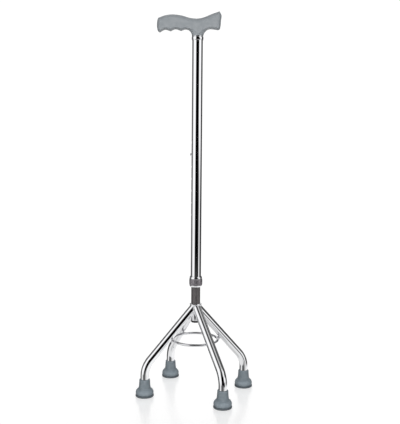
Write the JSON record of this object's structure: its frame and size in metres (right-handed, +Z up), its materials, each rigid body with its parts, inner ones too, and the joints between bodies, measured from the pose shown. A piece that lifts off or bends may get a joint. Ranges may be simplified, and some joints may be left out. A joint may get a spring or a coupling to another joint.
{
  "type": "quad walking cane",
  "caption": "Height-adjustable walking cane with a T-handle, telescopic tube with snap button and lock nut, and a small four-legged base with rubber feet.",
  "frame": {"origin": "on the floor, under the axis of the shaft", "axes": "+Z up along the shaft; X along the handle, with its long grip towards -X; the base is turned 21.0 degrees clockwise from X, seen from above"},
  "size_m": [0.2486, 0.2276, 0.7931],
  "materials": {
    "chrome": "bright chrome plate",
    "satin_steel": "dark satin, drawn lengthwise",
    "plain_steel": "plain",
    "grey_plastic": "fine moulded grain",
    "grey_rubber": "matt moulded rubber",
    "black_plastic": "moulded",
    "white_plastic": "natural nylon"
  },
  "bodies": {
    "base": {"hub_tube": "chrome", "hub_spigot": "plain_steel", "hub_end_plug": "black_plastic", "brace_ring": "chrome", "leg_front_left": "chrome", "leg_front_right": "chrome", "leg_rear_right": "chrome", "leg_rear_left": "chrome", "foot_front_left": "grey_rubber", "foot_front_right": "grey_rubber", "foot_rear_right": "grey_rubber", "foot_rear_left": "grey_rubber", "foot_washer_front_left": "plain_steel", "foot_washer_front_right": "plain_steel", "foot_washer_rear_right": "plain_steel", "foot_washer_rear_left": "plain_steel", "inner_tube": "satin_steel", "inner_tube_guide": "white_plastic", "button_spring": "plain_steel"},
    "button": {"snap_button": "chrome"},
    "upper": {"outer_tube": "chrome", "threaded_sleeve": "plain_steel", "handle_ferrule": "chrome", "handle_spigot": "white_plastic", "handle_grip": "grey_plastic"},
    "collet": {"collet_ring": "white_plastic"},
    "nut": {"lock_nut": "chrome"}
  },
  "joints": [
    {"name": "height_slide", "type": "slide", "parent": "base", "child": "upper", "axis": [0, 0, 1], "range_m": [-0.025, 0.125]},
    {"name": "button_press", "type": "slide", "parent": "base", "child": "button", "axis": [1, 0, 0], "range_m": [0, 0.004], "stiffness_N_per_m": 900, "springref_m": -0.002, "deforming": ["button_spring"]},
    {"name": "collet_travel", "type": "slide", "parent": "upper", "child": "collet", "axis": [0, 0, 1], "range_m": [-0.00112, 0]},
    {"name": "nut_turn", "type": "hinge", "parent": "collet", "child": "nut", "pos_m": [0, 0, 0.2365], "axis": [0, 0, 1], "range_deg": [-270, 0]}
  ],
  "couplings": [
    {"joint": "nut_turn", "follows": "collet_travel", "rad_per_m": 4188.8}
  ]
}
